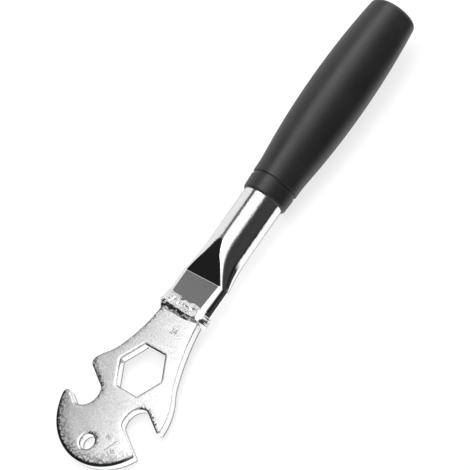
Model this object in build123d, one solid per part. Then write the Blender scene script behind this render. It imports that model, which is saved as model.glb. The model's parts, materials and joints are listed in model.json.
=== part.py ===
from build123d import *
import math
import os

# Pedal wrench: a stamped steel head with a hexagon hole and two open jaws, welded into the
# flattened end of a round tube, with a moulded grip over the other end. Millimetres.
# It is modelled along X from the centre of the hexagon to the grip, with the thickness along Z,
# and is then laid down as it rests on a table.

# Head plate
plate_thickness = 5.0
edge_chamfer = 0.5                    # worn edge that stamping and polishing leave round the front
hexagon_across_flats = 24.0
head_radius = 30.7                    # the round outline of the head
head_center_x = -21.6
head_center_y = 0.9
hang_hole_diameter = 8.0
hang_hole_chamfer = 0.5
hang_hole_inset = 10.1                # from the end of the round outline in to the hole's centre
hang_hole_y = 1.7

# Open jaws, at the same slant to the handle, on opposite sides of the head
jaw_slant = 60.0                      # degrees between the handle and the jaw walls
metric_jaw_width = 15.0
metric_jaw_seat_radius = 8.6
metric_jaw_depth = 21.6               # from the height of the head's round outline in to the seat
metric_jaw_offset = 9.5               # from the head's centre to the middle of the jaw
inch_jaw_width = 9 / 16 * 25.4
inch_jaw_seat_radius = 8.2
inch_jaw_depth = 22.6
inch_jaw_offset = 7.2
mouth_corner_depth = 18.0             # from the seat to about the corners of the mouth
jaw_seat_blend_radius = 3.5
claw_tip_radius = 2.3
shoulder_tip_radius = 3.6
toe_tip_radius = 1.2
heel_tip_radius = 0.8

# Neck outline, a hollow curve on each side that runs out of the round head
upper_root_lead = 2.2                 # degrees round the head from the jaws' slant to the hollow curve
lower_root_angle = -58.5              # degrees round the head from the handle's direction
upper_root_inset = 1.4                # from the round outline in to the start of the hollow curve
lower_root_inset = 0.8
upper_curve_radius = 74.0
lower_curve_radius = 122.0
root_blend_radius = 25.0

# Neck and tang
neck_end_x = 35.5
neck_width = 23.6
tang_length = 17.0
tang_side_gap = 0.1                   # from the tang's edge to where the tube's sides start to curve

# Tube
tube_diameter = 21.3
tube_wall = 1.6
tube_start_x = 36.5
fold_x = 53.8                         # end of the flattened part
round_start_x = 70.0                  # start of the round part
flat_width = 20.6                     # flat part of each flattened wall
tang_gap = 0.05                       # between the tang and each flattened wall
apex_angle = 4.0                      # degrees either side of the top, where the ramp's flat ends

# Weld round the neck
weld_toe_x = 32.2
weld_crown_length = 0.8               # from the tube's end, where the bead is thickest
weld_end_x = 40.0
weld_toe_height = 0.35                # above the plate
weld_cap_height = 0.55                # above the flattened tube
weld_end_height = 0.15

# Grip, one moulding: collar, groove, lip, waist and barrel
collar_start_x = 103.4
collar_length = 8.2
collar_start_diameter = 23.8
collar_end_diameter = 24.6
collar_edge_chamfer = 0.8
collar_rim_chamfer = 0.3
groove_width = 1.6
groove_diameter = 23.6
waist_length = 5.6
waist_diameter = 25.1
lip_chamfer = 0.5
barrel_start_x = 134.0
barrel_start_diameter = 28.1
barrel_middle_x = 174.0
barrel_diameter = 31.2
barrel_end_diameter = 25.2
barrel_tapers = 5                     # short tapers that the barrel's bow is turned in
grip_end_x = 221.8
grip_end_chamfer = 1.6
grip_end_wall = 4.0
grip_end_gap = 0.3                    # between the tube's end and the grip's end wall

flattened_height = plate_thickness + 2 * (tang_gap + tube_wall)
head_start_x = head_center_x - head_radius
hang_hole_x = head_start_x + hang_hole_inset


def jaw_place(offset, depth, turn):
    """Place at the deepest point of a jaw, with +Y out through its mouth."""
    center = Location((head_center_x, head_center_y, 0), (0, 0, jaw_slant - 90 + turn))
    return center * Pos(-offset, head_radius - depth)


metric_jaw = jaw_place(metric_jaw_offset, metric_jaw_depth, 0)
inch_jaw = jaw_place(inch_jaw_offset, inch_jaw_depth, 180)


def jaw_slot(width, seat_radius):
    """Parallel walls and a seat whose curve is flatter than a half round."""
    walls = Rectangle(width, 2 * head_radius, align=(Align.CENTER, Align.MIN))
    seat = Circle(seat_radius) & Rectangle(width, 2 * seat_radius)
    slot = Pos(0, seat_radius) * (walls + seat)
    seat_corners = slot.vertices().sort_by(Axis.Y)[:2]
    return fillet(seat_corners, jaw_seat_blend_radius)


def head_blank():
    """Front view of the head and neck before its holes are punched."""
    center = Vector(head_center_x, head_center_y)
    upper_root_angle = jaw_slant - upper_root_lead
    upper_root = center + Vector(head_radius - upper_root_inset, 0).rotate(Axis.Z, upper_root_angle)
    lower_root = center + Vector(head_radius - lower_root_inset, 0).rotate(Axis.Z, lower_root_angle)
    upper_end = (neck_end_x, neck_width / 2)
    lower_end = (neck_end_x, -neck_width / 2)
    edge = Polyline(lower_root, center, upper_root)
    edge += RadiusArc(upper_root, upper_end, -upper_curve_radius)
    edge += Line(upper_end, lower_end)
    edge += RadiusArc(lower_end, lower_root, -lower_curve_radius)
    blank = make_face(edge) + Pos(*center) * Circle(head_radius)
    for root in (upper_root, lower_root):
        blank = fillet(blank.vertices().sort_by_distance(root).first, root_blend_radius)
    return blank


def head_outline():
    """Front view of the head and neck with the jaws and the hexagon."""
    outline = head_blank()
    outline -= metric_jaw * jaw_slot(metric_jaw_width, metric_jaw_seat_radius)
    outline -= inch_jaw * jaw_slot(inch_jaw_width, inch_jaw_seat_radius)
    mouth_corners = (
        (metric_jaw * Pos(-metric_jaw_width / 2, mouth_corner_depth), claw_tip_radius),
        (metric_jaw * Pos(metric_jaw_width / 2, mouth_corner_depth), shoulder_tip_radius),
        (inch_jaw * Pos(-inch_jaw_width / 2, mouth_corner_depth), toe_tip_radius),
        (inch_jaw * Pos(inch_jaw_width / 2, mouth_corner_depth), heel_tip_radius),
    )
    for corner, radius in mouth_corners:
        outline = fillet(outline.vertices().sort_by_distance(corner.position).first, radius)
    return outline - RegularPolygon(hexagon_across_flats / 2, 6, major_radius=False, rotation=30)


def head_plate():
    """Stamped plate, bevelled all round its front face, with the tang that goes into the tube."""
    plate = extrude(head_outline(), plate_thickness / 2, both=True)
    front = plate.faces().sort_by(Axis.Z).last
    plate = chamfer(front.edges(), edge_chamfer)
    plate -= Pos(hang_hole_x, hang_hole_y) * Cylinder(hang_hole_diameter / 2, plate_thickness)
    front = plate.faces().sort_by(Axis.Z).last
    hole_edge = front.edges().sort_by_distance((hang_hole_x, hang_hole_y, plate_thickness / 2)).first
    plate = chamfer(hole_edge, hang_hole_chamfer)
    tang_width = flat_width - 2 * tang_side_gap
    tang = Box(tang_length, tang_width, plate_thickness, align=(Align.MIN, Align.CENTER, Align.CENTER))
    return plate + Pos(neck_end_x, 0, 0) * tang


def tube_section(x, half_flat, half_height, half_width, crown):
    """Closed section across the handle: top, two sides and bottom, each one edge."""
    corners = [
        Vector(x, -half_flat, half_height),
        Vector(x, half_flat, half_height),
        Vector(x, half_flat, -half_height),
        Vector(x, -half_flat, -half_height),
    ]
    side = ThreePointArc(corners[1], (x, half_width, 0), corners[2])
    other_side = ThreePointArc(corners[3], (x, -half_width, 0), corners[0])
    if crown > half_height:
        top = ThreePointArc(corners[0], (x, 0, crown), corners[1])
        bottom = ThreePointArc(corners[2], (x, 0, -crown), corners[3])
    else:
        top = Line(corners[0], corners[1])
        bottom = Line(corners[2], corners[3])
    return make_face([top, side, bottom, other_side])


def flattened_section(x, height):
    half = height / 2
    return tube_section(x, flat_width / 2, half, flat_width / 2 + half, half)


def round_section(x, radius):
    apex = math.radians(apex_angle)
    return tube_section(x, radius * math.sin(apex), radius * math.cos(apex), radius, radius)


def tube_body(inset):
    """Solid of the tube's outer surface, or of its inner one with an inset of one wall."""
    height = flattened_height - 2 * inset
    radius = tube_diameter / 2 - inset
    flattened = extrude(flattened_section(tube_start_x, height), fold_x - tube_start_x, dir=(1, 0, 0))
    ramp = loft([flattened_section(fold_x, height), round_section(round_start_x, radius)], ruled=True)
    straight = extrude(round_section(round_start_x, radius), tube_end_x - round_start_x, dir=(1, 0, 0))
    return flattened + ramp + straight


tube_end_x = grip_end_x - grip_end_wall - grip_end_gap


def handle_tube():
    """Round tube, open at its ends, with one end pressed flat over the tang."""
    return tube_body(0) - tube_body(tube_wall)


def weld_bead(plate):
    """Bead all round the neck, sloping down to the plate in front and to the tube behind."""
    cap_height = flattened_height + 2 * weld_cap_height
    toe_drop = (cap_height - plate_thickness) / 2 - weld_toe_height
    end_drop = weld_cap_height - weld_end_height
    bead = extrude(flattened_section(weld_toe_x, cap_height), weld_end_x - weld_toe_x, dir=(1, 0, 0))
    toe_face = bead.faces().sort_by(Axis.X).first
    bead = chamfer(toe_face.edges(), toe_drop, tube_start_x - weld_toe_x, reference=toe_face)
    end_face = bead.faces().sort_by(Axis.X).last
    end_run = weld_end_x - tube_start_x - weld_crown_length
    bead = chamfer(end_face.edges(), end_drop, end_run, reference=end_face)
    return bead - tube_body(0) - plate


def barrel_outline():
    """Points where the barrel's short tapers meet, on one long bow."""
    bow = ThreePointArc(
        (barrel_start_x, 0, barrel_start_diameter / 2),
        (barrel_middle_x, 0, barrel_diameter / 2),
        (grip_end_x, 0, barrel_end_diameter / 2),
    )
    return [bow @ (step / barrel_tapers) for step in range(barrel_tapers + 1)]


def grip():
    """Turned profile of the moulding, hollow over the tube and closed at its end."""
    bore = tube_diameter / 2
    hollow_end_x = tube_end_x + grip_end_gap
    collar_end_x = collar_start_x + collar_length
    lip_x = collar_end_x + groove_width
    edge = Polyline(
        (grip_end_x, 0, 0),
        (hollow_end_x, 0, 0),
        (hollow_end_x, 0, bore),
        (collar_start_x, 0, bore),
        (collar_start_x, 0, collar_start_diameter / 2),
        (collar_end_x, 0, collar_end_diameter / 2),
        (collar_end_x, 0, groove_diameter / 2),
        (lip_x, 0, groove_diameter / 2),
        (lip_x, 0, waist_diameter / 2),
        (lip_x + waist_length, 0, waist_diameter / 2),
        *barrel_outline(),
        close=True,
    )
    profile = make_face(edge)
    chamfered = (
        (collar_start_x, collar_start_diameter, collar_edge_chamfer),
        (collar_end_x, collar_end_diameter, collar_rim_chamfer),
        (lip_x, waist_diameter, lip_chamfer),
        (grip_end_x, barrel_end_diameter, grip_end_chamfer),
    )
    for x, diameter, length in chamfered:
        profile = chamfer(profile.vertices().sort_by_distance((x, 0, diameter / 2)).first, length)
    return revolve(profile, Axis.X)


def rest_tilt():
    """Angle at which the head's back edge and the barrel's underside both touch a table."""
    rises = [(point.Z - plate_thickness / 2) / (point.X - head_start_x) for point in barrel_outline()]
    return math.degrees(math.atan(max(rises)))


def main():
    plate = head_plate()
    nodes = {
        "head_plate": plate,
        "handle_tube": handle_tube(),
        "weld_bead": weld_bead(plate),
        "grip": grip(),
    }
    laid = {name: Rot(0, -rest_tilt(), 0) * piece for name, piece in nodes.items()}
    box = Compound(list(laid.values())).bounding_box()
    to_origin = Pos(-box.center().X, -box.center().Y, -box.min.Z)
    os.makedirs("parts", exist_ok=True)
    for name, piece in laid.items():
        export_step(to_origin * piece, f"parts/{name}.step")


main()
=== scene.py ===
"""Looks of a pedal wrench: satin head, bright tube, plated weld and rubber grip, in a soft studio."""

import json
import math

import bmesh
import bpy
from mathutils import Matrix, Vector, noise


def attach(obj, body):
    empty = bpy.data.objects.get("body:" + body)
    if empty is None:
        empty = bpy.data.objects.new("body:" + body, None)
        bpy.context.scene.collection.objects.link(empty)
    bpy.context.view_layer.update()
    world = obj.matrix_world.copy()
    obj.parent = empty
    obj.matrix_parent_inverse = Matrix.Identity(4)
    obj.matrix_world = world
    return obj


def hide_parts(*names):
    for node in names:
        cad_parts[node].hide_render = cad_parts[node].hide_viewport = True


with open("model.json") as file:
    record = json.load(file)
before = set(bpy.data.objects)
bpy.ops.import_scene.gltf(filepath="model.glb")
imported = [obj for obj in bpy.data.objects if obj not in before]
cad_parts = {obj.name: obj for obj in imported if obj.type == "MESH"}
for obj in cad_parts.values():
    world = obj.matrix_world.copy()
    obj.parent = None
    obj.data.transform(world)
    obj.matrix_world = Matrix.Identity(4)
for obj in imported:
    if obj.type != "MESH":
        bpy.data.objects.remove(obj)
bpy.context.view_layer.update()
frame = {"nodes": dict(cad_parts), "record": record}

mm = 0.001                            # a millimetre in metres

# Sizes in millimetres, along X from the centre of the hexagon to the grip, as the wrench is drawn
plate_thickness = 5.0
tube_start_x = 36.5
fold_x = 53.8
round_start_x = 70.0
flat_half_width = 10.3
flattened_half_height = 4.15
tube_radius = 10.65
apex_angle = math.radians(4.0)
tube_end_x = 217.0
crimp_ease = 0.42                     # share of the ramp over which it runs out into the round tube
side_lead = 0.75                      # how much faster the sides start to go round than the facet above them
crimp_spread = 1.7                    # how much narrower the flat is at the weld, on one side
fold_groove_width = 0.32
fold_groove_depth = 0.038

weld_toe_x = 31.8
weld_end_x = 41.0
weld_crest_share = 0.3
weld_crest_skew = 0.5                 # how much later the bead crests on the left, as a share
weld_toe_half_height = 2.35
weld_end_half_height = 4.05
weld_crown_half_height = 5.0
weld_skew = 0.9                       # how much farther along the bead's toe lies at its right end
weld_end_skew = 1.4                   # and how much nearer its other side lies there
weld_wander = 0.7                     # how far the bead strays along the wrench
weld_wander_length = 3.5
weld_side_turn = 200.0                # the more, the later its unevenness turns to the sides
weld_still_share = 0.3                # share of its unevenness that is left at its toe and its end
# Each wave's height, and its length along the wrench and round it, and each lump's height and size
weld_waves = ((0.26, 1.3, 6.0), (0.08, 0.5, 2.2))
weld_lumps = ((0.45, 3.4), (0.1, 1.0))

collar_start_x = 103.4
collar_end_x = 111.6
lip_x = 113.2
waist_end_x = 118.8
barrel_start_x = 134.0
barrel_middle_x = 174.0
grip_end_x = 221.8
collar_start_radius = 11.9
collar_end_radius = 12.3
groove_radius = 11.8
waist_radius = 12.55
barrel_start_radius = 14.05
barrel_radius = 15.53
barrel_end_radius = 12.6
grip_clearance = 0.05

mounts = {mount["name"]: mount for mount in frame["record"]["mounts"]}


def tool_frame():
    """Turns a piece drawn in millimetres, along the wrench, into the row frame in metres."""
    origin = Vector(mounts["hexagon"]["pos_m"])
    z_way = Vector(mounts["hexagon"]["axis"]).normalized()
    x_way = Vector(mounts["hexagon_flat"]["axis"]).normalized()
    y_way = z_way.cross(x_way)
    turn = Matrix((x_way, y_way, z_way)).transposed().to_4x4()
    return Matrix.Translation(origin) @ turn @ Matrix.Scale(mm, 4)


in_place = tool_frame()
sharp_angle = math.radians(35)
touching = 0.001                      # places as near as this, in millimetres, are one place


def finished(name, shape, material, node, creases=()):
    """Makes a bmesh in millimetres the piece that stands for a node; creases are the x of sharp rings."""
    bmesh.ops.recalc_face_normals(shape, faces=shape.faces)
    for edge in shape.edges:
        ring = any(all(abs(v.co.x - x) < touching for v in edge.verts) for x in creases)
        edge.smooth = not ring and len(edge.link_faces) == 2 and edge.calc_face_angle(0) < sharp_angle
    shape.transform(in_place)
    mesh = bpy.data.meshes.new(name)
    shape.to_mesh(mesh)
    shape.free()
    piece = bpy.data.objects.new(name, mesh)
    bpy.context.scene.collection.objects.link(piece)
    piece.data.materials.append(material)
    for face in mesh.polygons:
        face.use_smooth = True
    weights = piece.modifiers.new("shading weighted by face", "WEIGHTED_NORMAL")
    weights.keep_sharp = True
    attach(piece, "root")
    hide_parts(node)
    return piece


def loft(shape, stations, section, count):
    """Skins closed sections: one circle is extruded from station to station and reshaped at each."""
    place = shape.verts.layers.int.new("place")
    ring = bmesh.ops.create_circle(shape, segments=count, radius=1)["verts"]
    for number, vert in enumerate(ring):
        vert[place] = number
    edges = list({edge for vert in ring for edge in vert.link_edges})
    for number, station in enumerate(stations):
        if number:
            grown = bmesh.ops.extrude_edge_only(shape, edges=edges)["geom"]
            ring = [item for item in grown if isinstance(item, bmesh.types.BMVert)]
            inside = set(ring)
            edges = [e for e in grown if isinstance(e, bmesh.types.BMEdge) and set(e.verts) <= inside]
        for vert in ring:
            vert.co = section(station, vert[place])
    bmesh.ops.holes_fill(shape, edges=[e for e in shape.edges if e.is_boundary], sides=0)


# Tube

outer_half_width = flat_half_width + flattened_half_height


def section_step(number, top_steps, side_steps):
    """Splits a point's number into the half of the section, and its share of the top or of the side."""
    half, step = divmod(number, top_steps + side_steps)
    sign = 1 - 2 * half
    if step < top_steps:
        return sign, sign * (2 * step / top_steps - 1), None
    return sign, None, (step - top_steps) / side_steps


def pressed_point(number, steps, half_height, left=flat_half_width, right=flat_half_width):
    """Point of the pressed section: two flats, with a bulged side left and right of them."""
    sign, across, turn = section_step(number, *steps)
    if turn is None:
        return across * (left if across > 0 else right), sign * half_height
    flat = left if sign > 0 else right
    bulge = flat_half_width + half_height - flat
    return sign * (flat + bulge * math.sin(math.pi * turn)), sign * half_height * math.cos(math.pi * turn)


def round_point(number, steps, radius):
    """Point of the round section, in step with the pressed one."""
    sign, across, turn = section_step(number, *steps)
    if turn is None:
        angle = sign * across * apex_angle
    else:
        angle = apex_angle + (math.pi - 2 * apex_angle) * turn
    return sign * radius * math.sin(angle), sign * radius * math.cos(angle)


def crimp_share(x):
    """How far the tube has gone from pressed to round at x: straight up, then easing out."""
    share = (x - fold_x) / (round_start_x - fold_x)
    if share > 1 - crimp_ease:
        over = min(share, 1 + crimp_ease) - (1 - crimp_ease)
        share = 1 - crimp_ease + over - over**2 / (4 * crimp_ease)
    return max(share, 0.0)


tube_steps = (4, 44)


def tube_point(x, number):
    """Point of the tube's surface: pressed before the fold, growing round after it."""
    share = crimp_share(x)
    turn = section_step(number, *tube_steps)[2]
    if turn is not None:
        share += side_lead * share * (1 - share) * math.sin(math.pi * turn)
    spread = max(0.0, (fold_x - x) / (fold_x - tube_start_x)) * crimp_spread
    groove = fold_groove_depth * max(0.0, min(1.0, (x - fold_x) / fold_groove_width + 1))
    pressed = pressed_point(
        number, tube_steps, flattened_half_height - groove, right=flat_half_width - spread)
    rounded = round_point(number, tube_steps, tube_radius)
    y, z = (p + share * (r - p) for p, r in zip(pressed, rounded))
    return x, y, z


def handle_tube(material):
    """Tube pressed flat at one end, with a folded edge where its ramp begins."""
    ramp_end_x = fold_x + (1 + crimp_ease) * (round_start_x - fold_x)
    ramp_steps = 30
    round_steps = 6
    stations = [tube_start_x, fold_x - fold_groove_width]
    for start, end, steps in ((fold_x, ramp_end_x, ramp_steps), (ramp_end_x, tube_end_x, round_steps)):
        stations += [start + (end - start) * step / steps for step in range(steps)]
    stations.append(tube_end_x)
    shape = bmesh.new()
    loft(shape, stations, tube_point, 2 * sum(tube_steps))
    creases = (fold_x - fold_groove_width, fold_x)
    return finished("chromed_tube", shape, material, "handle_tube", creases)


# Weld

weld_steps = (72, 28)


def weld_point(share, number):
    """Point of the bead: steep at the plate, sloping off behind, wavy and lumpy."""
    sideways = pressed_point(number, weld_steps, weld_crown_half_height)[0] / outer_half_width
    crest = weld_crest_share * (1 + weld_crest_skew * sideways)
    if share < crest:
        rise = math.sin(math.pi / 2 * share / crest)
        half_height = weld_toe_half_height + rise * (weld_crown_half_height - weld_toe_half_height)
    else:
        fall = (share - crest) / (1 - crest)
        half_height = weld_crown_half_height - fall * (weld_crown_half_height - weld_end_half_height)
    y, z = pressed_point(number, weld_steps, half_height)
    x = weld_toe_x + share * (weld_end_x - weld_toe_x)
    x += (weld_end_skew * share - weld_skew * (1 - share)) * y / outer_half_width
    spot = Vector((x, y, z))
    x += weld_wander * noise.noise(Vector((share * 2, y / weld_wander_length, z / weld_wander_length)))
    outward = Vector((0, y * abs(y) / weld_side_turn, z)).normalized()
    waves = sum(
        height * noise.noise(Vector((x / length, y / width, z / width)))
        for height, length, width in weld_waves)
    lumps = sum(height * noise.noise(spot / size) for height, size in weld_lumps)
    liveliness = weld_still_share + (1 - weld_still_share) * math.sin(math.pi * share)
    return Vector((x, y, z)) + outward * (waves + lumps) * liveliness


def weld_bead(material):
    """Run of weld round the neck."""
    rings = 64
    shape = bmesh.new()
    loft(shape, [step / rings for step in range(rings + 1)], weld_point, 2 * sum(weld_steps))
    return finished("plated_weld", shape, material, "weld_bead")


# Grip

def barrel_radius_at(x):
    """Radius of the barrel's bow: the parabola through its two ends and its middle."""
    known = (
        (barrel_start_x, barrel_start_radius),
        (barrel_middle_x, barrel_radius),
        (grip_end_x, barrel_end_radius),
    )
    total = 0.0
    for at, radius in known:
        share = 1.0
        for other, _ in known:
            if other != at:
                share *= (x - other) / (at - other)
        total += radius * share
    return total


def grip(material):
    """Turned moulding: collar, groove, lip, waist and barrel, with its edges rounded."""
    bore_radius = tube_radius + grip_clearance
    barrel_steps = 24
    turned_steps = 120
    outline = [
        (collar_start_x, bore_radius),
        (collar_start_x, collar_start_radius),
        (collar_end_x, collar_end_radius),
        (collar_end_x, groove_radius),
        (lip_x, groove_radius),
        (lip_x, waist_radius),
        (waist_end_x, waist_radius),
    ]
    for step in range(barrel_steps + 1):
        x = barrel_start_x + (grip_end_x - barrel_start_x) * step / barrel_steps
        outline.append((x, barrel_radius_at(x)))
    outline.append((grip_end_x, 0.0))
    shape = bmesh.new()
    verts = [shape.verts.new((x, 0, radius)) for x, radius in outline]
    edges = [shape.edges.new(pair) for pair in zip(verts, verts[1:])]
    bmesh.ops.spin(
        shape, geom=verts + edges, axis=(1, 0, 0), cent=(0, 0, 0),
        angle=math.tau, steps=turned_steps, use_merge=True,
    )
    bmesh.ops.remove_doubles(shape, verts=shape.verts, dist=0.0001)
    # Place and radius of each rim, and the size of its rounding
    roundings = (
        (collar_start_x, collar_start_radius, 1.1),
        (collar_end_x, collar_end_radius, 0.35),
        (lip_x, waist_radius, 0.5),
        (waist_end_x, waist_radius, 3.0),
        (grip_end_x, barrel_end_radius, 2.2),
    )
    for x, radius, size in roundings:
        rim = [e for e in shape.edges if all(
            abs(v.co.x - x) < touching and abs(v.co.yz.length - radius) < touching for v in e.verts)]
        bmesh.ops.bevel(shape, geom=rim, affect="EDGES", offset=size, segments=5, profile=0.5, material=-1)
    return finished("moulded_grip", shape, material, "grip")


# Head

# Text, height, place along and across, and turn in degrees of each size number stamped in the face
stamps = (
    ("9", 3.1, -35.6, -7.4, -24.0),
    ("16", 3.0, -41.0, -13.0, -24.0),
    ("24", 3.2, 23.9, -3.0, -90.0),
)
# Place along and across, length and turn of the line between the fraction's numbers
fraction_bar = (-38.2, -11.1, 7.6, -24.0)
fraction_bar_width = 0.4
stamp_depth = 0.13
letter_box = 1.4                      # height of a letter's box over the height of its number


def stamp_cutters():
    """Solid numbers and a fraction bar that reach just below the plate's face."""
    front = plate_thickness / 2
    shape = bmesh.new()
    for text, height, x, y, turn in stamps:
        curve = bpy.data.curves.new("size number", "FONT")
        curve.body = text
        curve.size = height * letter_box
        curve.align_x = "CENTER"
        curve.align_y = "CENTER"
        curve.extrude = stamp_depth
        source = bpy.data.objects.new("size number", curve)
        flat = bpy.data.meshes.new_from_object(source)
        place = Matrix.Translation((x, y, front)) @ Matrix.Rotation(math.radians(turn), 4, "Z")
        flat.transform(place)
        shape.from_mesh(flat)
        bpy.data.objects.remove(source)
        bpy.data.curves.remove(curve)
        bpy.data.meshes.remove(flat)
    x, y, length, turn = fraction_bar
    place = Matrix.Translation((x, y, front)) @ Matrix.Rotation(math.radians(turn), 4, "Z")
    stretch = Matrix.Diagonal((length, fraction_bar_width, 2 * stamp_depth, 1))
    bmesh.ops.create_cube(shape, size=1, matrix=place @ stretch)
    bmesh.ops.remove_doubles(shape, verts=shape.verts, dist=0.0005)
    bmesh.ops.recalc_face_normals(shape, faces=shape.faces)
    return shape


def head_plate(material):
    """The stamped head, with its loose triangles joined, and the size numbers cut into its face."""
    shape = bmesh.new()
    shape.from_mesh(frame["nodes"]["head_plate"].data)
    bmesh.ops.remove_doubles(shape, verts=shape.verts, dist=touching * mm)
    shape.transform(in_place.inverted())
    blank = bpy.data.objects.new("blank", bpy.data.meshes.new("blank"))
    shape.to_mesh(blank.data)
    shape.clear()
    cutters = bpy.data.objects.new("cutters", bpy.data.meshes.new("cutters"))
    stamp_cutters().to_mesh(cutters.data)
    for item in (blank, cutters):
        bpy.context.scene.collection.objects.link(item)
    cut = blank.modifiers.new("size numbers", "BOOLEAN")
    cut.object = cutters
    cut.operation = "DIFFERENCE"
    cut.solver = "EXACT"
    bpy.context.view_layer.update()
    with_numbers = blank.evaluated_get(bpy.context.evaluated_depsgraph_get())
    shape.from_mesh(bpy.data.meshes.new_from_object(with_numbers))
    for item in (blank, cutters):
        bpy.data.objects.remove(item)
    return finished("stamped_head", shape, material, "head_plate")


# Materials


def linear(code):
    """Linear colour of an sRGB hex code."""
    channels = [int(code[start:start + 2], 16) / 255 for start in (1, 3, 5)]
    return [c / 12.92 if c <= 0.04045 else ((c + 0.055) / 1.055) ** 2.4 for c in channels] + [1.0]


def add_node(tree, kind, inputs=None, **settings):
    """Adds a node, with its settings and with each input set to a value or linked from a socket."""
    node = tree.nodes.new(kind)
    for name, value in settings.items():
        setattr(node, name, value)
    for key, value in (inputs or {}).items():
        if isinstance(value, bpy.types.NodeSocket):
            tree.links.new(value, node.inputs[key])
        else:
            node.inputs[key].default_value = value
    return node


def new_material(name):
    """Empty material with its shader and output joined, and its tree."""
    material = bpy.data.materials.new(name)
    material.use_nodes = True
    tree = material.node_tree
    tree.nodes.clear()
    shader = add_node(tree, "ShaderNodeBsdfPrincipled")
    add_node(tree, "ShaderNodeOutputMaterial", {"Surface": shader.outputs["BSDF"]})
    return material, tree, shader


def patch(tree, limits, level=1.0):
    """Strength of a patch at a place: its level inside all of its limits, fading to nothing past them.

    A limit is what is measured, its value where the patch ends, and its value where the patch is full.
    """
    strength = level
    for measured, end, full in limits:
        share = add_node(tree, "ShaderNodeMapRange", {
            "Value": measured, "From Min": end, "From Max": full}).outputs["Result"]
        strength = add_node(tree, "ShaderNodeMath", {0: strength, 1: share}, operation="MULTIPLY").outputs[0]
    return strength


def strongest(tree, strengths):
    """The greatest of several patches' strengths at a place."""
    top, *others = strengths
    for strength in others:
        top = add_node(tree, "ShaderNodeMath", {0: top, 1: strength}, operation="MAXIMUM").outputs[0]
    return top


def places(tree):
    """Place on the wrench in the row frame, and the same as counted from the centre of the hexagon."""
    place = add_node(tree, "ShaderNodeTexCoord").outputs["Object"]
    from_hexagon = add_node(tree, "ShaderNodeVectorMath", {
        0: place, 1: list(in_place.translation)}, operation="SUBTRACT").outputs["Vector"]
    return place, from_hexagon


# Ways over the head in the row frame, named as the photograph shows them
up_way = list(in_place.col[2].xyz.normalized())
left_way = (-0.75, 0.66, 0.0)
away_way = (0.5, 0.87, 0.0)
end_way = (-0.72, 0.69, 0.0)          # to the left part of the head's round end
arc_way = (-0.95, 0.3, 0.0)           # from the round head's centre to the middle of its pitted arc, which has painted shade and a painted dark rim

round_centre = (-21.6 * mm, 0.9 * mm, 0.0)
head_radius = 30.7 * mm
front_start = 1.8 * mm                # heights over the plate's middle where its front finish begins
front_full = 2.1 * mm                 # and where it is full
roll_radius = 2.0 * mm                # how far the rolled edge shades the face beside it
edge_reach = 5.0 * mm                 # how far from an edge pits gather
peel_size = 0.6667 * mm               # finer on the real plate, and drawn as coarse as it needs to show
pit_size = 1.111 * mm
mottle_size = 2.381 * mm
rag_depth = 1.6 * mm                  # how far the painted dark reflection on the rim frays inwards
peel_depth = 0.05 * mm
dish_bend = (1.3, 2.1, 0.0)           # how much more the face leans for each metre from the hexagon
dish_lean = (0.018, -0.082, 0.0)      # and how much it leans there
turn_ways = (-0.6, 0.0, 0.6)          # an edge turns more the more it faces up, and less the more it faces +X
turn_level = 0.63


def plate_measures(tree):
    """What the plate's finish depends on, by name: places, heights, ways that it faces, and its patterns."""
    place, from_hexagon = places(tree)
    from_centre = add_node(tree, "ShaderNodeVectorMath", {
        0: from_hexagon, 1: round_centre}, operation="SUBTRACT").outputs["Vector"]
    rolled = add_node(tree, "ShaderNodeBevel", {"Radius": roll_radius}, samples=8).outputs["Normal"]
    spread = add_node(tree, "ShaderNodeBevel", {"Radius": edge_reach}, samples=8).outputs["Normal"]
    true_normal = add_node(tree, "ShaderNodeNewGeometry").outputs["True Normal"]
    peel = add_node(tree, "ShaderNodeTexNoise", {
        "Vector": place, "Scale": 1 / peel_size, "Detail": 2.0, "Roughness": 0.6}).outputs["Fac"]
    pocks = add_node(tree, "ShaderNodeTexNoise", {
        "Vector": place, "Scale": 1 / pit_size, "Detail": 4.0, "Roughness": 0.65}).outputs["Fac"]
    mottle = add_node(tree, "ShaderNodeTexNoise", {
        "Vector": place, "Scale": 1 / mottle_size, "Detail": 3.0}).outputs["Fac"]
    off_hexagon = add_node(tree, "ShaderNodeVectorMath", {
        0: from_hexagon}, operation="LENGTH").outputs["Value"]
    outwards = add_node(tree, "ShaderNodeVectorMath", {
        0: from_centre}, operation="LENGTH").outputs["Value"]
    frayed = add_node(tree, "ShaderNodeMath", {
        0: peel, 1: rag_depth, 2: outwards}, operation="MULTIPLY_ADD").outputs[0]
    at = {
        "from_hexagon": from_hexagon, "off_hexagon": off_hexagon, "outwards": outwards, "frayed": frayed,
        "rolled": rolled, "peel": peel, "pocks": pocks, "mottle": mottle,
    }
    along_ways = (
        ("height", from_hexagon, up_way),
        ("towards_end", from_hexagon, end_way),
        ("towards_arc", from_centre, arc_way),
        ("by_left_edge", spread, left_way),
        ("left_roll", rolled, left_way),
        ("far_roll", rolled, away_way),
        ("flatness", rolled, up_way),
        ("facing", true_normal, up_way),
    )
    for name, vector, way in along_ways:
        at[name] = add_node(tree, "ShaderNodeVectorMath", {
            0: vector, 1: way}, operation="DOT_PRODUCT").outputs["Value"]
    return at


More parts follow.
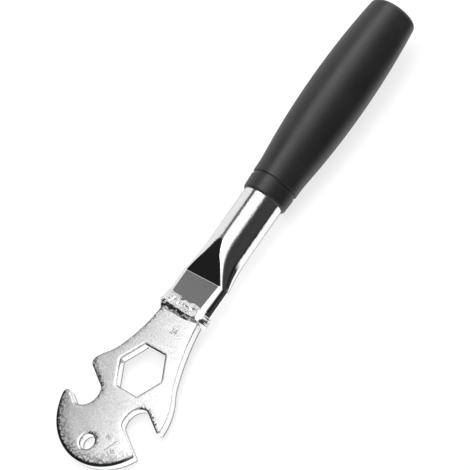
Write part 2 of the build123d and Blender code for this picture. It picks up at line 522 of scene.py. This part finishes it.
def plate_colour(tree, at):
    """Pale grey with bright grain, pitted at the left, with painted shade over the left arc, a painted dark
    reflection on its rolled edges and painted shade along the back of its walls.
    """
    front = (at["height"], front_start, front_full)
    below_front = (at["height"], front_full, front_start)
    left_edge = (at["by_left_edge"], 0.02, 0.3)
    # The left arc, where pits gather and where painted shade dims the reflection on the rolled edge
    arc_pits_and_shade = patch(tree, (
        (at["outwards"], head_radius - 8.7 * mm, head_radius - 0.2 * mm),
        (at["towards_arc"], 2.0 * mm, 20.0 * mm)))
    grain = strongest(tree, (
        patch(tree, ((at["peel"], 0.3, 0.66),)),
        patch(tree, (below_front,)),
    ))
    pitted = strongest(tree, (
        patch(tree, ((at["towards_end"], 30.0 * mm, 45.0 * mm),), 0.2),
        patch(tree, (left_edge, (at["off_hexagon"], 15.5 * mm, 18.0 * mm))),
        patch(tree, (left_edge, (at["towards_end"], 12.5 * mm, 14.5 * mm))),
        arc_pits_and_shade,
    ))
    # Painted dark reflection: the rolled edges are darkened along the outer arc, where they face left and
    # where they face away
    painted_dark_roll_reflection = strongest(tree, (
        patch(tree, (
            (at["frayed"], head_radius - 1.0 * mm, head_radius - 0.3 * mm),
            (at["towards_arc"], 0.0, 12.0 * mm))),
        patch(tree, ((at["left_roll"], 0.18, 0.42),)),
        patch(tree, ((at["far_roll"], 0.12, 0.34),), 0.8),
    ))
    layers = (
        (grain, "#ffffff"),
        # Painted shade over the left arc
        (patch(tree, (front,), arc_pits_and_shade), "#dadadc"),
        (patch(tree, (front, (at["pocks"], 0.45, 0.54)), pitted), "#303034"),
        # Painted dark reflection on the rolled edges
        (patch(tree, (front,), painted_dark_roll_reflection), "#2c2c2e"),
        # Painted shade along the back of the walls, near the floor
        (patch(tree, ((at["height"], -1.6 * mm, -2.0 * mm),)), "#77777a"),
        # Dirt in the stamped numbers, which lie level and a little below the face
        (patch(tree, ((at["facing"], 0.9, 0.98), (at["height"], 2.45 * mm, 2.4 * mm))), "#88888a"),
    )
    colour = linear("#d4d4d6")
    for share, code in layers:
        colour = add_node(tree, "ShaderNodeMix", {
            "Factor": share, 6: colour, 7: linear(code)}, data_type="RGBA").outputs[2]
    return colour


def plate_normal(tree, at):
    """Way that the plate faces: round over its edges, its face a little dished and its right edges turned.

    The dish and the turn bring the face and the edges that face right to the panels that they mirror.
    """
    rolled = at["rolled"]
    faces = add_node(tree, "ShaderNodeSeparateXYZ", {"Vector": rolled}).outputs
    upright = add_node(tree, "ShaderNodeVectorMath", {
        0: rolled, 1: turn_ways}, operation="DOT_PRODUCT").outputs["Value"]
    push = add_node(tree, "ShaderNodeMath", {0: upright, 1: turn_level}, operation="ADD").outputs[0]
    turn = patch(tree, ((faces["Y"], -0.15, -0.7), (faces["X"], -0.16, -0.15)), push)
    turned = add_node(tree, "ShaderNodeVectorMath", {
        0: turn, 1: (1.0, 0.0, 0.0), 2: rolled}, operation="MULTIPLY_ADD").outputs["Vector"]
    dish = add_node(tree, "ShaderNodeVectorMath", {
        0: at["from_hexagon"], 1: dish_bend, 2: dish_lean}, operation="MULTIPLY_ADD").outputs["Vector"]
    dished = add_node(tree, "ShaderNodeVectorMath", {0: turned, 1: dish}, operation="ADD").outputs["Vector"]
    return add_node(tree, "ShaderNodeVectorMath", {0: dished}, operation="NORMALIZE").outputs["Vector"]


def satin_chrome():
    """Chrome over a stamped and tumbled face: pale grey, soft reflections, orange peel, and painted dark
    reflections and painted shade at its edges.
    """
    material, tree, shader = new_material("satin_chrome_on_stamped_steel")
    shader.inputs["Metallic"].default_value = 1.0
    at = plate_measures(tree)
    tree.links.new(plate_colour(tree, at), shader.inputs["Base Color"])
    dull = add_node(tree, "ShaderNodeMapRange", {
        "Value": at["mottle"], "From Min": 0.3, "From Max": 0.7, "To Min": 0.33, "To Max": 0.4})
    burnished = add_node(tree, "ShaderNodeMapRange", {
        "Value": at["flatness"], "From Min": 0.8, "From Max": 0.99, "To Min": 0.65})
    roughness = add_node(tree, "ShaderNodeMath", {
        0: dull.outputs["Result"], 1: burnished.outputs["Result"]}, operation="MULTIPLY")
    tree.links.new(roughness.outputs[0], shader.inputs["Roughness"])
    relief = add_node(tree, "ShaderNodeMapRange", {
        "Value": at["height"], "From Min": front_start, "From Max": front_full, "To Min": 0.1, "To Max": 0.6})
    bump = add_node(tree, "ShaderNodeBump", {
        "Height": at["peel"], "Normal": plate_normal(tree, at),
        "Strength": relief.outputs["Result"], "Distance": peel_depth})
    tree.links.new(bump.outputs["Normal"], shader.inputs["Normal"])
    return material


def bright_chrome():
    """Bright chrome plate on drawn tube: mirror reflections, a trace of waviness."""
    smudge_size = 11.11 * mm
    draw_mark_size = 1.429 * mm           # finer on the real tube, and drawn as coarse as it needs to show
    draw_mark_depth = 0.06 * mm
    material, tree, shader = new_material("bright_chrome_plate")
    shader.inputs["Metallic"].default_value = 1.0
    shader.inputs["Base Color"].default_value = linear("#f4f4f5")
    place, from_hexagon = places(tree)
    smudges = add_node(tree, "ShaderNodeTexNoise", {
        "Vector": place, "Scale": 1 / smudge_size, "Detail": 4.0}).outputs["Fac"]
    dull = add_node(tree, "ShaderNodeMapRange", {
        "Value": smudges, "From Min": 0.35, "From Max": 0.7, "To Min": 0.04, "To Max": 0.075})
    tree.links.new(dull.outputs["Result"], shader.inputs["Roughness"])
    draw_marks = add_node(tree, "ShaderNodeTexNoise", {
        "Vector": place, "Scale": 1 / draw_mark_size, "Detail": 2.0}).outputs["Fac"]
    along = add_node(tree, "ShaderNodeVectorMath", {
        0: from_hexagon, 1: list(in_place.col[0].xyz.normalized())}, operation="DOT_PRODUCT").outputs["Value"]
    # The press smooths the draw marks out of the crimp
    off_press = add_node(tree, "ShaderNodeMapRange", {
        "Value": along, "From Min": 64.0 * mm, "From Max": 74.0 * mm, "To Min": 0.25, "To Max": 1.0})
    bump = add_node(tree, "ShaderNodeBump", {
        "Height": draw_marks, "Strength": off_press.outputs["Result"], "Distance": draw_mark_depth})
    tree.links.new(bump.outputs["Normal"], shader.inputs["Normal"])
    return material


def plated_weld_finish():
    """Chrome over a rough weld: bright, pitted and uneven."""
    weld_pit_size = 0.7143 * mm
    weld_pit_depth = 0.2 * mm
    weld_lean = (0.12, 0.0, 0.0)          # towards the grip, and so to the panel that the bead mirrors
    material, tree, shader = new_material("chrome_over_rough_weld")
    shader.inputs["Metallic"].default_value = 1.0
    shader.inputs["Base Color"].default_value = linear("#f2f2f3")
    shader.inputs["Roughness"].default_value = 0.14
    place = add_node(tree, "ShaderNodeTexCoord").outputs["Object"]
    pits = add_node(tree, "ShaderNodeTexNoise", {
        "Vector": place, "Scale": 1 / weld_pit_size, "Detail": 3.0}).outputs["Fac"]
    outward = add_node(tree, "ShaderNodeNewGeometry").outputs["Normal"]
    leant = add_node(tree, "ShaderNodeVectorMath", {
        0: outward, 1: weld_lean}, operation="ADD").outputs["Vector"]
    face = add_node(tree, "ShaderNodeVectorMath", {0: leant}, operation="NORMALIZE").outputs["Vector"]
    bump = add_node(tree, "ShaderNodeBump", {
        "Height": pits, "Normal": face, "Strength": 0.3, "Distance": weld_pit_depth})
    tree.links.new(bump.outputs["Normal"], shader.inputs["Normal"])
    return material


def grip_rubber():
    """Moulded rubber: charcoal, satin, with a fine grain from the mould."""
    grain_size = 0.625 * mm               # finer on the real grip, and drawn as coarse as it needs to show
    grain_depth = 0.1 * mm
    handled_size = 16.67 * mm
    material, tree, shader = new_material("moulded_satin_rubber")
    shader.inputs["IOR"].default_value = 1.52
    place = add_node(tree, "ShaderNodeTexCoord").outputs["Object"]
    grain = add_node(tree, "ShaderNodeTexNoise", {
        "Vector": place, "Scale": 1 / grain_size, "Detail": 2.0}).outputs["Fac"]
    handled = add_node(tree, "ShaderNodeTexNoise", {
        "Vector": place, "Scale": 1 / handled_size, "Detail": 4.0}).outputs["Fac"]
    bloom = add_node(tree, "ShaderNodeMapRange", {
        "Value": handled, "From Min": 0.3, "From Max": 0.7}).outputs["Result"]
    colour = add_node(tree, "ShaderNodeMix", {
        "Factor": bloom, 6: linear("#252526"), 7: linear("#2a2a2b")}, data_type="RGBA").outputs[2]
    tree.links.new(colour, shader.inputs["Base Color"])
    polish = add_node(tree, "ShaderNodeMapRange", {
        "Value": bloom, "To Min": 0.38, "To Max": 0.44}).outputs["Result"]
    tree.links.new(polish, shader.inputs["Roughness"])
    bump = add_node(tree, "ShaderNodeBump", {"Height": grain, "Strength": 0.2, "Distance": grain_depth})
    tree.links.new(bump.outputs["Normal"], shader.inputs["Normal"])
    return material


# Studio

# Brightness of the room's panels by the angle round the wrench, in degrees: 0 is the back, 90 is overhead
panel_levels = (
    (-180, 0.05), (-156, 0.047), (-150, 0.02), (-146, 0.03), (-141, 0.9), (-126, 1.2), (-112, 1.2),
    (-98, 1.05), (-75, 1.0), (-56, 0.95), (-45, 0.9), (0, 0.88), (32, 0.88), (41, 0.8),
    (47, 0.26), (52, 0.2), (58, 0.19), (64, 0.35), (70, 1.2), (76, 3.4), (88, 3.4), (97, 1.6),
    (113, 1.2), (120, 0.8), (127, 0.16), (134, 0.055), (150, 0.047), (180, 0.05),
)
brightest = max(level for angle, level in panel_levels)
white_level = 0.9
far_end_level = 0.7
front_level = 0.45
least_level = 0.0145


def long_panels(tree, angle):
    """Brightness of the long panels, as a share of the brightest."""
    share = add_node(tree, "ShaderNodeMapRange", {
        "Value": angle, "From Min": -180.0, "From Max": 180.0}).outputs["Result"]
    panels = add_node(tree, "ShaderNodeValToRGB", {"Fac": share})
    ramp = panels.color_ramp
    while len(ramp.elements) < len(panel_levels):
        ramp.elements.new(1.0)
    for element, (at_angle, level) in zip(ramp.elements, panel_levels):
        element.position = (at_angle + 180) / 360
        element.color = [level / brightest] * 3 + [1.0]
    return panels.outputs["Color"]


def room_light(tree):
    """Brightness of the room, as a share of the brightest: long panels with dark and white patches.

    A place in the room is the way there from the wrench: along it, across it, up, and the angle round it.
    """
    way = add_node(tree, "ShaderNodeTexCoord").outputs["Generated"]
    split = add_node(tree, "ShaderNodeSeparateXYZ", {"Vector": way})
    along, across, up = (split.outputs[axis] for axis in "XYZ")
    turn = add_node(tree, "ShaderNodeMath", {0: up, 1: across}, operation="ARCTAN2").outputs[0]
    angle = add_node(tree, "ShaderNodeMath", {0: turn}, operation="DEGREES").outputs[0]
    dark = strongest(tree, (
        # Beyond the head, above the floor
        patch(tree, ((along, -0.24, -0.3), (up, -0.05, 0.05)), 0.985),
        # Between the back and overhead, deep towards the head and shallow towards the grip
        patch(tree, ((along, 0.07, 0.01), (angle, 36.5, 40.0), (angle, 67.5, 64.0)), 0.92),
        patch(tree, ((along, 0.13, 0.15), (angle, 42.8, 47.4), (angle, 61.2, 56.6)), 0.4),
        # In front, towards the head
        patch(tree, ((along, 0.145, 0.12), (across, -0.68, -0.72)), 0.7),
        # Low in front and low at the back, both towards the grip
        patch(tree, (
            (along, 0.295, 0.39), (along, 0.68, 0.62),
            (angle, -162.8, -157.6), (angle, -111.2, -116.4)), 0.96),
        patch(tree, (
            (along, 0.21, 0.28), (along, 0.48, 0.4),
            (angle, -88.4, -74.1), (angle, -19.6, -33.9)), 0.8),
    ))
    # The back half towards the grip, and all of the grip's end
    white = strongest(tree, (
        patch(tree, ((along, 0.22, 0.31), (across, -0.1, 0.1)), white_level / brightest),
        patch(tree, ((along, 0.62, 0.7),), white_level / brightest),
    ))
    lit = strongest(tree, (long_panels(tree, angle), white))
    undimmed = add_node(tree, "ShaderNodeMath", {0: 1.0, 1: dark}, operation="SUBTRACT").outputs[0]
    return strongest(tree, (
        add_node(tree, "ShaderNodeMath", {0: lit, 1: undimmed}, operation="MULTIPLY").outputs[0],
        # Light past the dark: the far end beyond the head, and the front beside it
        patch(tree, ((along, -0.5, -0.7), (across, 0.45, 0.3)), far_end_level / brightest),
        patch(tree, ((along, 0.02, -0.06), (across, -0.4, -0.6)), front_level / brightest),
        least_level / brightest,
    ))


def studio():
    """Room that the metal mirrors, and a plain white backdrop that the camera sees in its place."""
    world = bpy.data.worlds.new("studio")
    bpy.context.scene.world = world
    world.use_nodes = True
    tree = world.node_tree
    tree.nodes.clear()
    light = add_node(tree, "ShaderNodeBackground", {"Color": room_light(tree), "Strength": brightest})
    backdrop = add_node(tree, "ShaderNodeBackground", {"Color": linear("#ffffff")})
    seen = add_node(tree, "ShaderNodeLightPath").outputs["Is Camera Ray"]
    both = add_node(tree, "ShaderNodeMixShader", {
        "Fac": seen, 1: light.outputs["Background"], 2: backdrop.outputs["Background"]})
    add_node(tree, "ShaderNodeOutputWorld", {"Surface": both.outputs["Shader"]})


def floor():
    """Pale floor: white to the camera apart from the wrench's shadow, and open to reflections."""
    half_width = 3.0                      # in metres
    camera_glow = 0.75
    shape = bmesh.new()
    bmesh.ops.create_grid(shape, x_segments=1, y_segments=1, size=half_width)
    mesh = bpy.data.meshes.new("floor")
    shape.to_mesh(mesh)
    shape.free()
    sheet = bpy.data.objects.new("floor", mesh)
    bpy.context.scene.collection.objects.link(sheet)
    material = bpy.data.materials.new("white_floor")
    material.use_nodes = True
    tree = material.node_tree
    tree.nodes.clear()
    ray = add_node(tree, "ShaderNodeLightPath")
    matt = add_node(tree, "ShaderNodeBsdfDiffuse", {"Color": linear("#a4a4a4")})
    glow_level = add_node(tree, "ShaderNodeMath", {
        0: ray.outputs["Is Camera Ray"], 1: camera_glow}, operation="MULTIPLY")
    glow = add_node(tree, "ShaderNodeEmission", {"Strength": glow_level.outputs[0]})
    glow_part = add_node(tree, "ShaderNodeAddShader", {0: matt.outputs["BSDF"], 1: glow.outputs["Emission"]})
    open_way = add_node(tree, "ShaderNodeBsdfTransparent")
    surface = add_node(tree, "ShaderNodeMixShader", {
        "Fac": ray.outputs["Is Glossy Ray"], 1: glow_part.outputs["Shader"], 2: open_way.outputs["BSDF"]})
    add_node(tree, "ShaderNodeOutputMaterial", {"Surface": surface.outputs["Shader"]})
    sheet.data.materials.append(material)


def camera():
    """Camera where the photograph was taken, fitted to the outline of the head, the tube and the grip."""
    data = bpy.data.cameras.new("camera")
    data.sensor_width = 36.0
    data.lens = 137.87
    data.clip_end = 20.0
    eye = bpy.data.objects.new("camera", data)
    eye.location = (-0.22942, -0.51139, 0.69089)
    eye.rotation_euler = [math.radians(angle) for angle in (34.3585, 20.8173, -51.2161)]
    bpy.context.scene.collection.objects.link(eye)
    bpy.context.scene.camera = eye


head_plate(satin_chrome())
handle_tube(bright_chrome())
weld_bead(plated_weld_finish())
grip(grip_rubber())
studio()
floor()
camera()
bpy.context.scene.view_settings.view_transform = "Standard"
